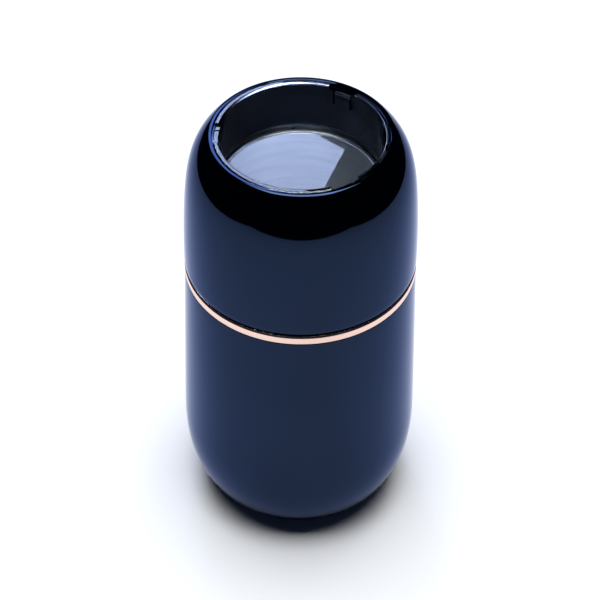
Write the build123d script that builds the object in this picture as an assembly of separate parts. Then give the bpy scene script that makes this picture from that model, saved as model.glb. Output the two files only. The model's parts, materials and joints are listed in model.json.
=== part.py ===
from build123d import *

import math
import os

# Electric blade grinder for coffee beans and spices.
#
# A bullet-shaped body holds a small mains motor. A steel bowl sits in its top, and a two-winged
# blade turns in the bowl on the motor's own shaft. A domed lid drops over the bowl. Its top is a
# deep clear cup, so the beans can be watched. Pressing the lid down 1.2 mm pushes a sprung rod
# onto a small switch, and the motor runs for as long as the lid is held down.
#
# Millimetres. +Z is up, the origin is on the table under the middle of the body, and +Y is the
# back, where the mains lead enters.

# ---------------------------------------------------------------- driving dimensions
RING_R = 45.0  # outside radius at the metal trim ring
SEAM_Z = 122.0  # top edge of the body, under the trim ring
TOP_Z = 184.9  # top of the lid
BASE_Z = 1.5  # underside of the body, lifted by the feet
RING_H = 3.7  # height of the trim ring
LID_GAP = 1.3  # open gap between trim ring and lid
PRESS = 1.2  # travel of the lid when it is pressed
WALL = 2.2  # wall of the moulded shells
EDGE = 0.4  # small bevel where two shells meet
SLIP = 0.02  # clearance between pieces that are fixed to each other
RUN = 0.05  # radial clearance of a turning shaft

LID_RISE = TOP_Z - SEAM_Z
LID_Z = SEAM_Z + RING_H + LID_GAP  # lower edge of the lid

# Outline of the lid: a slight taper, then a quick turn-in at the shoulder.
LID_TAPER, LID_TAPER_POWER = 0.094, 1.92
LID_SHOULDER, LID_SHOULDER_POWER = 0.155, 8.66

# Outline of the body: it flares a little downwards, then rounds in to the base.
BODY_FLARE, BODY_BOW = 0.0457, 0.0021
CORNER_Z, CORNER_H, CORNER_POWER = 48.9, 54.2, 2.76


def lid_radius(z):
    """Outside radius of the lid at height z."""
    rise = (z - SEAM_Z) / LID_RISE
    taper = LID_TAPER * rise**LID_TAPER_POWER
    return RING_R * (1 - taper - LID_SHOULDER * rise**LID_SHOULDER_POWER)


def body_radius(z):
    """Outside radius of the body at height z."""
    drop = (SEAM_Z - z) / RING_R
    side = RING_R * (1 + BODY_FLARE * drop - BODY_BOW * drop**2)
    turn = max(0.0, (CORNER_Z - z) / CORNER_H)
    return side * (1 - turn**CORNER_POWER) ** (1 / CORNER_POWER)


def inset(radius_at, z, depth):
    """The point that lies depth inside the outline, square to it, from height z."""
    step = 0.02
    slope = (radius_at(z + step) - radius_at(z - step)) / (2 * step)
    length = math.hypot(1, slope)
    return radius_at(z) - depth / length, z + depth * slope / length


def bunched(low, high, count):
    """Heights from low to high that crowd together towards high."""
    return [low + (high - low) * math.sin(math.pi / 2 * i / count) for i in range(count + 1)]


# ---------------------------------------------------------------- small helpers
def turned(*points):
    """A solid of revolution about Z from a closed outline of (radius, height) points."""
    outline = Polyline(*[(r, 0, z) for r, z in points], close=True)
    return revolve(make_face(outline), Axis.Z)


def turned_curve(curve, *corners):
    """A solid of revolution from a smooth curve of (radius, height) points, closed by corners."""
    smooth = Spline(*[(r, 0, z) for r, z in curve])
    rest = Polyline(*[(r, 0, z) for r, z in (curve[-1], *corners, curve[0])])
    return revolve(make_face(smooth + rest), Axis.Z)


def rod(radius, low, high, x=0.0, y=0.0):
    """An upright round bar from height low to high."""
    return Pos(x, y, (low + high) / 2) * Cylinder(radius, high - low)


def tube(inner, outer, low, high, x=0.0, y=0.0):
    """An upright round tube."""
    return rod(outer, low, high, x, y) - rod(inner, low - 1, high + 1, x, y)


def block(x, y, z):
    """A box between (low, high) pairs."""
    centre = Pos((x[0] + x[1]) / 2, (y[0] + y[1]) / 2, (z[0] + z[1]) / 2)
    return centre * Box(x[1] - x[0], y[1] - y[0], z[1] - z[0])


def along_y(radius, low, high, x=0.0, z=0.0):
    """A round bar lying along Y."""
    return Pos(x, (low + high) / 2, z) * Rot(90, 0, 0) * Cylinder(radius, high - low)


def around(shape, angles):
    """Copies of a shape turned about Z to each angle, kept as separate solids."""
    return [Rot(0, 0, a) * shape for a in angles]


def polar(radius, angle):
    """The point at this radius and angle about Z."""
    return radius * math.cos(math.radians(angle)), radius * math.sin(math.radians(angle))


def screw(head_r, head_h, shank_r, length):
    """A cross-slotted pan head screw whose shank points up from the origin, head below."""
    head = rod(head_r, -head_h, 0)
    head = chamfer(head.faces().sort_by(Axis.Z)[0].edges(), head_h * 0.3)
    slot = block((-head_r * 0.6, head_r * 0.6), (-0.35, 0.35), (-head_h - 1, -head_h * 0.5))
    shank = rod(shank_r, -0.1, length)
    return head + shank - slot - Rot(0, 0, 90) * slot


def group(*shapes):
    """Several separate solids as one node."""
    return Compound([s for shape in shapes for s in shape.solids()])


parts = {}

# ---------------------------------------------------------------- lid
OPENING_R = 32.4  # hole in the top of the lid shell
CUP_R = 31.75  # outside of the clear cup
CUP_INNER_R = 30.2
CUP_FLOOR_Z = 162.2  # upper face of the clear floor
CUP_FLOOR_T = 2.0
SLEEVE_Z = 164.5  # lower end of the shell's inner sleeve round the cup
SNAP_ANGLES = (60, 180, 300)
SNAP_W = 6.4
NOTCH_W = 11.4
LINER_SCREW_R = 37.6
LINER_SCREW_ANGLES = (30, 150, 270)
LINER_PLATE_Z = 162.5
TAB_Y = 37.3  # the lid's tab and the rod under it are at this distance behind the axis
PLATE_Z = 154.4  # underside of the collar's top plate
RIM_Z = 158.0  # top of the bowl's rim


def lid_shell():
    """Outer dome with a sleeve that holds the clear cup, and posts for the liner's screws."""
    heights = bunched(LID_Z + EDGE, TOP_Z, 11)
    skin = [(lid_radius(z), z) for z in heights]
    foot = (lid_radius(LID_Z) - EDGE, LID_Z)
    solid = turned_curve(skin, (0, TOP_Z), (0, LID_Z), foot)
    hollow_skin = [inset(lid_radius, z, WALL) for z in bunched(LID_Z - 2, TOP_Z, 11)]
    top = hollow_skin[-1][1]
    hollow = turned_curve(hollow_skin, (0, top), (0, hollow_skin[0][1]))
    sleeve = rod(CUP_R + 1.75, SLEEVE_Z, TOP_Z)
    shell = solid - (hollow - sleeve)
    core_skin = [inset(lid_radius, z, WALL / 2) for z in bunched(LID_Z, TOP_Z, 11)]
    core = turned_curve(core_skin, (0, core_skin[-1][1]), (0, core_skin[0][1]))
    for angle in LINER_SCREW_ANGLES:
        x, y = polar(LINER_SCREW_R, angle)
        shell += rod(2.5, LINER_PLATE_Z + 1.6, TOP_Z, x, y) & core
        shell -= rod(1.15, LINER_PLATE_Z, LINER_PLATE_Z + 12, x, y)
    shell -= rod(CUP_R + 0.2, SLEEVE_Z - 1, TOP_Z + 1)
    shell -= rod(OPENING_R, TOP_Z - 1.6, TOP_Z + 1)
    pocket = block((31, 33.05), (-SNAP_W / 2 - 0.3, SNAP_W / 2 + 0.3), (TOP_Z - 6.4, TOP_Z - 3.3))
    for cut in around(pocket, SNAP_ANGLES):
        shell -= cut
    return shell


def window_cup():
    """Clear cup with a rim, held by three snap tongues cut into its wall."""
    bottom = CUP_FLOOR_Z - CUP_FLOOR_T
    flange = TOP_Z - 1.5
    rim_r = OPENING_R - 0.2
    cup = turned(
        (0, bottom), (CUP_R, bottom), (CUP_R, flange), (rim_r, flange), (rim_r, TOP_Z),
        (CUP_INNER_R, TOP_Z), (CUP_INNER_R, CUP_FLOOR_Z), (0, CUP_FLOOR_Z),
    )
    circles = cup.edges().filter_by(GeomType.CIRCLE)
    inside_corner = circles.filter_by_position(Axis.Z, CUP_FLOOR_Z - 0.1, CUP_FLOOR_Z + 0.1)
    cup = fillet(inside_corner, 1.2)
    circles = cup.edges().filter_by(GeomType.CIRCLE)
    bottom_edge = circles.filter_by_position(Axis.Z, bottom - 0.1, bottom + 0.1)
    cup = fillet(bottom_edge, 0.9)
    circles = cup.edges().filter_by(GeomType.CIRCLE)
    rim_edges = circles.filter_by_position(Axis.Z, TOP_Z - 0.1, TOP_Z + 0.1)
    cup = fillet(rim_edges, 0.6)
    notch = block((29, 33), (-NOTCH_W / 2, NOTCH_W / 2), (TOP_Z - 1.9, TOP_Z + 1))
    tongue = SNAP_W / 2
    slit = block((29, 33), (tongue, tongue + 0.8), (TOP_Z - 8.0, TOP_Z + 1))
    hook = block((31.2, 32.8), (-tongue, tongue), (TOP_Z - 5.8, TOP_Z - 3.8))
    for angle in SNAP_ANGLES:
        cup -= Rot(0, 0, angle) * notch
        cup -= Rot(0, 0, angle) * slit
        cup -= Rot(0, 0, angle) * mirror(slit, Plane.XZ)
        cup += Rot(0, 0, angle) * hook
    return cup


def chamber_liner():
    """Ring that closes the grinding chamber between cup and bowl, with the tab for the switch."""
    low, plate_top = 160.6, LINER_PLATE_Z + 1.6 - SLIP
    inner = CUP_R + 0.25
    liner = turned(
        (inner, low), (34.0, low), (34.0, LINER_PLATE_Z), (40.1, LINER_PLATE_Z),
        (40.1, plate_top), (inner, plate_top),
    )
    liner += block((-3.6, 3.6), (TAB_Y - 1.0, TAB_Y + 1.0), (PLATE_Z - 0.08, LINER_PLATE_Z + 0.5))
    for angle in LINER_SCREW_ANGLES:
        x, y = polar(LINER_SCREW_R, angle)
        liner -= rod(1.4, LINER_PLATE_Z - 1, plate_top + 1, x, y)
    return liner


def lid_seal():
    """Silicone lip round the liner's lower end, which comes down on the bowl's rim."""
    lip = RIM_Z + PRESS + 0.1
    return turned(
        (32.2, lip), (35.0, lip), (35.0, 162.4), (34.05, 162.4), (34.05, 160.55), (32.2, 160.55)
    )


def liner_screws():
    """Three screws that hold the liner to the posts in the dome."""
    one = screw(2.3, 1.4, 1.1, 10.5)
    return group(*[Pos(*polar(LINER_SCREW_R, a), LINER_PLATE_Z - SLIP) * one for a in LINER_SCREW_ANGLES])


parts["lid_shell"] = lid_shell()
parts["window_cup"] = window_cup()
parts["chamber_liner"] = chamber_liner()
parts["lid_seal"] = lid_seal()
parts["liner_screws"] = liner_screws()

# ---------------------------------------------------------------- body shell, trim ring and base
COVER_R = 30.3
COVER_TOP = 4.2
BOSS_R = 26.5  # the cover's screws are on this radius
BOSS_ANGLES = (0, 90, 180, 270)
FEET_R = 22.5
FEET_ANGLES = (45, 135, 225, 315)
GLAND_Z = 24.0
GLAND_SEAT_Y = 44.0
GLAND_BORE_R = 3.3
COLLAR_SCREW_R = 38.4
COLLAR_SCREW_ANGLES = (30, 150, 270)
LUG_Z = 107.0


def body_shell():
    """Outer body with bosses for the cover, lugs for the collar and a seat for the gland."""
    down = [SEAM_Z + BASE_Z - z for z in bunched(BASE_Z, SEAM_Z, 13)]
    skin_heights = [SEAM_Z - EDGE if z == SEAM_Z else z for z in sorted(down)]
    skin = [(body_radius(z), z) for z in skin_heights]
    solid = turned_curve(skin, (RING_R - EDGE, SEAM_Z), (0, SEAM_Z), (0, BASE_Z))

    def inner(depth):
        face = [inset(body_radius, z, depth) for z in sorted(down)]
        face[-1] = (face[-1][0], SEAM_Z)
        return turned_curve(face, (0, SEAM_Z), (0, face[0][1]))

    shell = solid - inner(WALL) - rod(30.6, BASE_Z - 1, 6)
    shell -= rod(RING_R - WALL, SEAM_Z - 1, SEAM_Z + 1)
    core = inner(WALL / 2)
    for angle in BOSS_ANGLES:
        boss = rod(3.3, COVER_TOP + 0.05, 17, BOSS_R)
        rib = block((BOSS_R, 50), (-0.9, 0.9), (6, 16))
        shell += (Rot(0, 0, angle) * (boss + rib)) & core
        shell -= Rot(0, 0, angle) * rod(1.25, 3, 15, BOSS_R)
    for angle in COLLAR_SCREW_ANGLES:
        lug = rod(4.0, LUG_Z, LUG_Z + 3, COLLAR_SCREW_R)
        lug += block((COLLAR_SCREW_R, 46), (-4, 4), (LUG_Z, LUG_Z + 3))
        shell += (Rot(0, 0, angle) * lug) & core
        shell -= Rot(0, 0, angle) * rod(1.4, LUG_Z - 1, LUG_Z + 4, COLLAR_SCREW_R)
    shell += along_y(9.0, 41.5, 50, z=GLAND_Z) & core
    shell -= along_y(7.0, GLAND_SEAT_Y, 55, z=GLAND_Z)
    shell -= along_y(4.85, 35, 50, z=GLAND_Z)
    return shell


def trim_ring():
    """Metal ring between body and lid, with a flange that the collar holds down."""
    top = SEAM_Z + RING_H
    inner, flange = 41.4, SEAM_Z + 2.0
    return turned(
        (inner, SEAM_Z), (RING_R - EDGE, SEAM_Z), (RING_R, SEAM_Z + EDGE), (RING_R, top - 0.7),
        (RING_R - 0.6, top), (43.5, top), (43.5, flange), (inner, flange),
    )


def base_cover():
    """Flat cover under the body, with air slots, screw holes and pockets for the feet."""
    low = BASE_Z + 0.5
    cover = rod(COVER_R, low, COVER_TOP)
    for i in range(-3, 4):
        half = 11.0 - abs(i) * 1.2
        slot = block((-half, half), (i * 4.0 - 1.1, i * 4.0 + 1.1), (0, 6))
        cover -= slot
    for angle in BOSS_ANGLES:
        x, y = polar(BOSS_R, angle)
        cover -= rod(1.5, 0, 6, x, y) + rod(3.0, 0, low + 1.05, x, y)
    for angle in FEET_ANGLES:
        cover -= rod(4.55, 0, low + 1.0, *polar(FEET_R, angle))
    return cover


def rubber_foot():
    """One round foot."""
    foot = rod(4.5, 0, BASE_Z + 1.5 - SLIP)
    return chamfer(foot.faces().sort_by(Axis.Z)[0].edges(), 0.5)


def cord_gland():
    """Rubber bush that lines the hole for the mains lead."""
    outer = along_y(6.8, GLAND_SEAT_Y + SLIP, GLAND_SEAT_Y + 1.8, z=GLAND_Z)
    outer = chamfer(outer.faces().sort_by(Axis.Y)[-1].edges(), 0.7)
    neck = along_y(4.8, 41.0, GLAND_SEAT_Y + 1, z=GLAND_Z)
    inner = along_y(6.0, 40.0, 41.5 - SLIP, z=GLAND_Z)
    return outer + neck + inner - along_y(GLAND_BORE_R, 35, 50, z=GLAND_Z)


parts["body_shell"] = body_shell()
parts["trim_ring"] = trim_ring()
parts["base_cover"] = base_cover()
parts["rubber_feet"] = group(*[Pos(*polar(FEET_R, a), 0) * rubber_foot() for a in FEET_ANGLES])
cover_screw = Pos(0, 0, BASE_Z + 1.5) * screw(2.7, 0.95, 1.2, 11)
parts["cover_screws"] = group(*[Pos(*polar(BOSS_R, a), 0) * cover_screw for a in BOSS_ANGLES])
parts["cord_gland"] = cord_gland()

# ---------------------------------------------------------------- collar, seat, bowl and their seals
FLOOR_Z = 112.4  # upper face of the seat's floor
SEAT_R = 34.9  # outside of the seat's wall
BOWL_R = 32.5  # inside of the bowl
BOWL_T = 0.7
BOWL_Z = 113.0
BOWL_SCREW_R = 14.0
BOWL_SCREW_ANGLES = (30, 150, 270)
SHAFT_R = 3.0


def bowl_collar():
    """Black collar that stands in the body, guides the lid and holds the sprung rod."""
    plate_top = PLATE_Z + 1.6
    collar = turned(
        (SEAT_R + 0.2, PLATE_Z), (39.2, PLATE_Z), (39.2, 117.5), (41.2, 117.5), (41.2, 124.1),
        (43.2, 124.1), (43.2, 125.5), (40.8, 125.5), (40.8, plate_top - 0.9), (39.9, plate_top),
        (SEAT_R + 0.2, plate_top),
    )
    collar += block((-4, 4), (SEAT_R + 0.2, 39.6), (134, 144))
    collar -= block((-4.2, 4.2), (TAB_Y - 1.4, TAB_Y + 1.4), (PLATE_Z - 1, plate_top + 1))
    collar -= rod(1.28, 130, 150, 0, TAB_Y)
    for angle in COLLAR_SCREW_ANGLES:
        post = rod(2.7, LUG_Z + 3 + SLIP, 124.1, COLLAR_SCREW_R)
        collar += Rot(0, 0, angle) * post
        collar -= Rot(0, 0, angle) * rod(1.15, LUG_Z, 120, COLLAR_SCREW_R)
    return collar


def bowl_seat():
    """Inner cup that hangs in the collar by its flange, with the bowl above and the motor below."""
    bottom, plate_top = FLOOR_Z - 2.2, PLATE_Z + 1.6
    flange = plate_top + 0.6
    seat = turned(
        (9, bottom), (SEAT_R, bottom), (SEAT_R, plate_top), (35.8, plate_top), (35.8, flange),
        (33.5, flange), (33.5, FLOOR_Z), (9, FLOOR_Z),
    )
    seat += block((-9, 9), (33.6, 35.2), (106, 117))
    for side in (-6.5, 6.5):
        seat -= along_y(0.75, 33, 36, x=side, z=110)
    for angle in BOWL_SCREW_ANGLES:
        seat -= rod(1.8, 105, 115, *polar(BOWL_SCREW_R, angle))
    return seat


def grinding_bowl():
    """Pressed steel bowl with a flat rim, a rounded corner and a hole for the shaft seal."""
    outer = BOWL_R + BOWL_T
    bowl = turned(
        (6.5, BOWL_Z), (outer, BOWL_Z), (outer, RIM_Z - BOWL_T), (35.4, RIM_Z - BOWL_T),
        (35.4, RIM_Z), (BOWL_R, RIM_Z), (BOWL_R, BOWL_Z + BOWL_T), (6.5, BOWL_Z + BOWL_T),
    )

    def corner(radius, z):
        ring = bowl.edges().filter_by(GeomType.CIRCLE).filter_by_position(Axis.Z, z - 0.05, z + 0.05)
        return [e for e in ring if abs(e.radius - radius) < 0.05]

    bowl = fillet(corner(outer, BOWL_Z), 8.0)
    bowl = fillet(corner(BOWL_R, BOWL_Z + BOWL_T), 8.0 - BOWL_T)
    bowl = fillet(corner(BOWL_R, RIM_Z), 0.5)
    for angle in BOWL_SCREW_ANGLES:
        bowl -= rod(1.7, 110, 116, *polar(BOWL_SCREW_R, angle))
    return bowl


def shaft_seal():
    """Rubber seal in the middle of the bowl, which keeps grounds off the bearing."""
    top = BOWL_Z + BOWL_T
    inner = SHAFT_R + RUN
    return turned(
        (inner, 112.6), (6.5 - SLIP, 112.6), (6.5 - SLIP, top), (8.2, top), (8.2, top + 0.8),
        (5.0, 115.2), (inner, 115.2),
    )


parts["bowl_collar"] = bowl_collar()
parts["bowl_seat"] = bowl_seat()
parts["grinding_bowl"] = grinding_bowl()
parts["bowl_gasket"] = tube(33.6, 35.3, PLATE_Z + 2.2, RIM_Z - BOWL_T)
parts["shaft_seal"] = shaft_seal()
bowl_screw = Rot(180, 0, 0) * screw(2.8, 1.5, 1.5, 10.5)
parts["bowl_screws"] = group(
    *[Pos(*polar(BOWL_SCREW_R, a), BOWL_Z + BOWL_T + SLIP) * bowl_screw for a in BOWL_SCREW_ANGLES]
)
collar_screw = Pos(0, 0, LUG_Z - SLIP) * screw(2.6, 1.6, 1.1, 11.5)
parts["collar_screws"] = group(
    *[Pos(*polar(COLLAR_SCREW_R, a), 0) * collar_screw for a in COLLAR_SCREW_ANGLES]
)

# ---------------------------------------------------------------- press rod and switch
ROD_R = 1.2
HEAD_Z = PLATE_Z - 0.12
BUTTON_TOP = 118.5


def spring(radius, wire, length, turns):
    """A compression spring standing on the origin plane, measured over its wire."""
    pitch = (length - 2 * wire) / turns
    line = Helix(pitch=pitch, height=pitch * turns, radius=radius)
    section = Plane(line @ 0, z_dir=line % 0) * Circle(wire)
    return Pos(0, 0, wire) * sweep(section, path=line)


def push_rod():
    """Steel rod with a head under the lid's tab."""
    head = rod(1.85, HEAD_Z - 2, HEAD_Z, 0, TAB_Y)
    return head + rod(ROD_R, BUTTON_TOP + 0.05, HEAD_Z - 1, 0, TAB_Y)


def switch_case():
    """Case of the small snap-action switch, with a pocket for its button."""
    case = block((-9.9, 9.9), (35.3, 41.0), (106.8, 117.0))
    case = fillet(case.edges().filter_by(Axis.Y), 0.6)
    case -= block((-1.6, 1.6), (36.0, 38.8), (112, 118))
    for side in (-6.5, 6.5):
        case -= along_y(1.05, 34, 42, x=side, z=110)
    return case


parts["push_rod"] = push_rod()
parts["push_rod_spring"] = Pos(0, TAB_Y, 144.02) * spring(1.55, 0.19, HEAD_Z - 2 - 144.06, 6)
parts["switch_case"] = switch_case()
parts["switch_button"] = block((-1.4, 1.4), (36.2, 38.6), (114.2, BUTTON_TOP))
parts["switch_terminals"] = group(
    *[block((x - 1.6, x + 1.6), (38.0, 38.6), (101.0, 106.8 - SLIP)) for x in (-6.5, 0, 6.5)]
)
switch_screw = Rot(90, 0, 0) * screw(1.7, 0.9, 0.7, 7.2)
parts["switch_screws"] = group(*[Pos(x, 41.0 + SLIP, 110) * switch_screw for x in (-6.5, 6.5)])

# ---------------------------------------------------------------- motor: the still parts
STACK_LOW, STACK_HIGH = 59.0, 81.0  # the laminated iron, still and turning
BRACKET_TOP = 108.6
THROUGH_X = 26.3  # the motor's two through screws
BRUSH_Z = 43.7


def stator_core():
    """Laminated frame with two poles, ears for the through screws and room for the coils."""
    height = STACK_HIGH - STACK_LOW

    def round_with_flats(radius, flat):
        return Circle(radius) & Rectangle(2 * radius, 2 * flat)

    outline = round_with_flats(27.5, 24.5) + Rectangle(59, 9)
    shoes = Circle(17.5) - Circle(15.3)
    gaps = [Rot(0, 0, a) * Pos(16, 0) * Rectangle(12, 16) for a in (0, 180)]
    necks = Rectangle(14, 46) - Circle(16.5)
    iron = outline - round_with_flats(24.0, 20.8) + (shoes - gaps) + (necks & round_with_flats(27, 24))
    for x in (-THROUGH_X, THROUGH_X):
        iron -= Pos(x, 0) * Circle(1.7)
    return Pos(0, 0, STACK_LOW) * extrude(iron, height)


def field_coil(side):
    """Copper coil round one pole: a rounded loop that stands out at both ends of the stack."""
    low, high = STACK_LOW - 5, STACK_HIGH + 5
    loop = block((-11.5, 11.5), (17.8, 20.3), (low, high))
    loop = fillet(loop.edges().filter_by(Axis.Y), 3.5)
    hole = block((-7.6, 7.6), (15, 23), (low + 4.4, high - 4.4))
    loop -= fillet(hole.edges().filter_by(Axis.Y), 0.5)
    return loop if side > 0 else mirror(loop, Plane.XZ)


def motor_top_bracket():
    """Bracket over the stator: a plate, a hub for the bearing and two legs."""
    plate = extrude(Circle(30) & Rectangle(60, 38), 2.4)
    bracket = Pos(0, 0, BRACKET_TOP - 2.4) * plate + rod(8.2, 98, 107)
    for x in (-THROUGH_X, THROUGH_X):
        bracket += rod(3.4, STACK_HIGH + SLIP, 107, x)
        bracket -= rod(1.65, STACK_HIGH - 1, 105, x)
    bracket -= rod(6.5, 97, 105.5) + rod(3.5, 100, 110)
    for angle in BOWL_SCREW_ANGLES:
        bracket -= rod(1.55, 104, 110, *polar(BOWL_SCREW_R, angle))
    return bracket


def motor_bottom_bracket():
    """Bracket under the stator: a cross bar with a bearing hub, two legs and two brush posts."""
    bracket = block((-29.5, 29.5), (-6, 6), (30, 33)) + block((-6, 6), (-25, 25), (30, 33))
    bracket += rod(8.5, 22.5, 33)
    for side in (-1, 1):
        x = side * THROUGH_X
        bracket += block((x - 3, x + 3), (-5, 5), (32, STACK_LOW - SLIP))
        bracket += block((-5, 5), sorted((side * 17, side * 25)), (32, 39 - SLIP))
        bracket -= rod(1.65, 28, STACK_LOW + 1, x)
    return bracket - rod(6.5, 24.3, 35)


def brush_holder():
    """Brass box that guides one carbon brush, closed at its outer end."""
    box = block((-4.2, 4.2), (10.5, 24.5), (39.0, 48.4))
    return box - block((-3.2, 3.2), (10, 23.7), (40.0, 47.4))


def both_sides(shape):
    """The shape behind the axis, and its twin in front."""
    return group(shape, Rot(0, 0, 180) * shape)


brush = block((-3.1, 3.1), (9.57, 18.0), (40.1, 47.3))
brush_spring = Pos(0, 18.05, BRUSH_Z) * Rot(-90, 0, 0) * spring(2.2, 0.3, 5.6, 5)
bearing = tube(SHAFT_R + RUN, 6.5 - SLIP, 0, 6.8)
damper = tube(1.8, 5.0, BRACKET_TOP, FLOOR_Z - 2.2)

parts["motor_top_bracket"] = motor_top_bracket()
parts["upper_bearing"] = Pos(0, 0, 98.5) * bearing
parts["motor_dampers"] = group(*[Pos(*polar(BOWL_SCREW_R, a), 0) * damper for a in BOWL_SCREW_ANGLES])
parts["stator_core"] = stator_core()
parts["field_coils"] = group(field_coil(1), field_coil(-1))
parts["motor_bottom_bracket"] = motor_bottom_bracket()
parts["lower_bearing"] = Pos(0, 0, 24.3 + SLIP) * bearing
parts["brush_holders"] = both_sides(brush_holder())
parts["carbon_brushes"] = both_sides(brush)
parts["brush_springs"] = both_sides(brush_spring)
motor_screw = Pos(0, 0, 30 - SLIP) * screw(3.2, 2.0, 1.6, 72)
parts["motor_screws"] = group(*[Pos(x, 0, 0) * motor_screw for x in (-THROUGH_X, THROUGH_X)])
parts["thermal_fuse"] = Pos(0, 19.0, STACK_HIGH + 6.4) * Rot(0, 90, 0) * Cylinder(1.3, 10)

# ---------------------------------------------------------------- motor: the turning parts
SLOTS = 12
BLADE_Z = 118.6
BLADE_T = 1.4
BLADE_REACH = 28.6


def armature_core():
    """Slotted laminated rotor."""
    iron = Circle(14.8) - Circle(SHAFT_R + SLIP)
    for i in range(SLOTS):
        turn = Rot(0, 0, 360 / SLOTS * (i + 0.5))
        iron -= turn * Pos(11.2, 0) * Circle(2.0)
        iron -= turn * Pos(13.5, 0) * Rectangle(4, 1.6)
    return Pos(0, 0, STACK_LOW) * extrude(iron, STACK_HIGH - STACK_LOW)


def armature_windings():
    """Copper end turns at both ends of the rotor, joined by a bar in each slot."""
    end = turned((5.2, 0), (12.4, 0), (13.2, 2.0), (11.6, 6.4), (8.0, 7.4), (5.2, 6.8))
    winding = Pos(0, 0, STACK_HIGH + SLIP) * end
    winding += Pos(0, 0, STACK_LOW - SLIP) * mirror(end, Plane.XY)
    for i in range(SLOTS):
        winding += rod(1.9, STACK_LOW - 1, STACK_HIGH + 1, *polar(11.2, 360 / SLOTS * (i + 0.5)))
    return winding


def commutator_bars():
    """Copper segments on which the brushes run."""
    ring = tube(6.6, 9.5, 38, 49.5) + tube(6.6, 10.4, 48, 49.5)
    gap = block((0, 12), (-0.25, 0.25), (37, 51))
    for i in range(SLOTS):
        ring -= Rot(0, 0, 360 / SLOTS * i) * gap
    return ring


def cooling_fan():
    """Moulded fan that pulls air up through the motor."""
    fan = tube(SHAFT_R + SLIP, 6.0, 89.5, 96.0) + tube(5.5, 18.0, 89.5, 90.7)
    blade = block((5.5, 18.0), (-0.5, 0.5), (90, 96.5))
    for i in range(9):
        fan += Rot(0, 0, 40 * i) * blade
    return fan


def cutting_blade():
    """Flat steel blade: a round middle and two tapered wings, one bent up and one bent down."""
    middle = extrude(Circle(8.5), BLADE_T)
    tip = BLADE_REACH
    outline = Polyline((0, -5.2), (tip - 7, -5.0), (tip - 1, -1.0), (tip - 3, 4.4), (0, 5.2), close=True)
    wing = extrude(make_face(outline), BLADE_T)
    up = Rot(0, -13, 0) * Rot(-9, 0, 0) * wing
    down = Rot(0, 0, 180) * Rot(0, 3, 0) * Rot(-9, 0, 0) * wing
    blade = middle + (up - rod(6.5, -9, 9)) + (down - rod(6.5, -9, 9))
    return Pos(0, 0, BLADE_Z) * (blade - rod(SHAFT_R + SLIP, -9, 9))


def blade_nut():
    """Domed cap nut that clamps the blade."""
    low = BLADE_Z + BLADE_T + SLIP
    nut = Pos(0, 0, low) * extrude(RegularPolygon(5.0, 6), 3.6)
    nut += rod(4.2, low, low + 5.6)
    nut = fillet(nut.faces().sort_by(Axis.Z)[-1].edges(), 1.6)
    return nut - rod(SHAFT_R + SLIP, low - 1, low + 4.2)


parts["motor_shaft"] = rod(SHAFT_R, 24.5, BLADE_Z + BLADE_T + 4.0)
parts["armature_core"] = armature_core()
parts["armature_windings"] = armature_windings()
parts["commutator_bars"] = commutator_bars()
parts["commutator_hub"] = tube(SHAFT_R + SLIP, 6.6 - SLIP, 37.5, 50.5)
parts["cooling_fan"] = cooling_fan()
parts["blade_bush"] = tube(SHAFT_R + SLIP, 5.0, 115.5, BLADE_Z - SLIP)
parts["blade"] = cutting_blade()
parts["blade_nut"] = blade_nut()

# ---------------------------------------------------------------- wiring
WIRE_R = 1.0


def wire(*points):
    """An insulated lead along straight runs joined by arcs as large as the runs allow."""
    spots = [Vector(*p) for p in points]
    radii = []
    for before, here, after in zip(spots, spots[1:], spots[2:]):
        come, go = here - before, after - here
        half_turn = math.radians(come.get_angle(go)) / 2
        radii.append(0.45 * min(come.length, go.length) / math.tan(half_turn))
    path = FilletPolyline(*spots, radius=radii)
    print("lead", round(path.length), "mm, radii", [round(r) for r in radii])
    section = Plane(path @ 0, z_dir=path % 0) * Circle(WIRE_R)
    return sweep(section, path=path)


parts["lead_wires"] = group(
    wire((-2.0, 35.0, 24), (-3.5, 36.0, 40), (-5.5, 37.5, 62), (-7, 38.6, 84), (-6.5, 38.3, 100.8)),
    wire((6.5, 38.3, 100.8), (7, 38.8, 84), (6, 37.5, 66), (3, 32, 52), (0, 26.0, 44)),
    wire(
        (2.0, 35.0, 22), (17, 32, 19), (29, 18, 20), (31, -4, 24),
        (24, -22, 34), (11, -31, 42), (0, -25.6, 44),
    ),
)
capacitor = block((-8.5, 8.5), (-22.3, -14.3), (COVER_TOP + SLIP, 16))
parts["suppressor_capacitor"] = fillet(capacitor.edges().filter_by(Axis.Z), 0.8)

# ---------------------------------------------------------------- export
os.makedirs("parts", exist_ok=True)
for name, shape in parts.items():
    export_step(shape, f"parts/{name}.step")
print(len(parts), "nodes written")
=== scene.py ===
# %% [markdown]
# # A push-lid coffee grinder
# This lesson dresses a small kitchen grinder for a studio scene. Each cell below makes one piece
# or one finish. The pieces are drawn in millimetres, as a maker would, and MM turns them into
# Blender's metres. The camera, the table and the lamps are placed in metres.

# %% Load the frame
import json
import math
import bmesh
import bpy
from mathutils import Matrix, Vector


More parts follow.
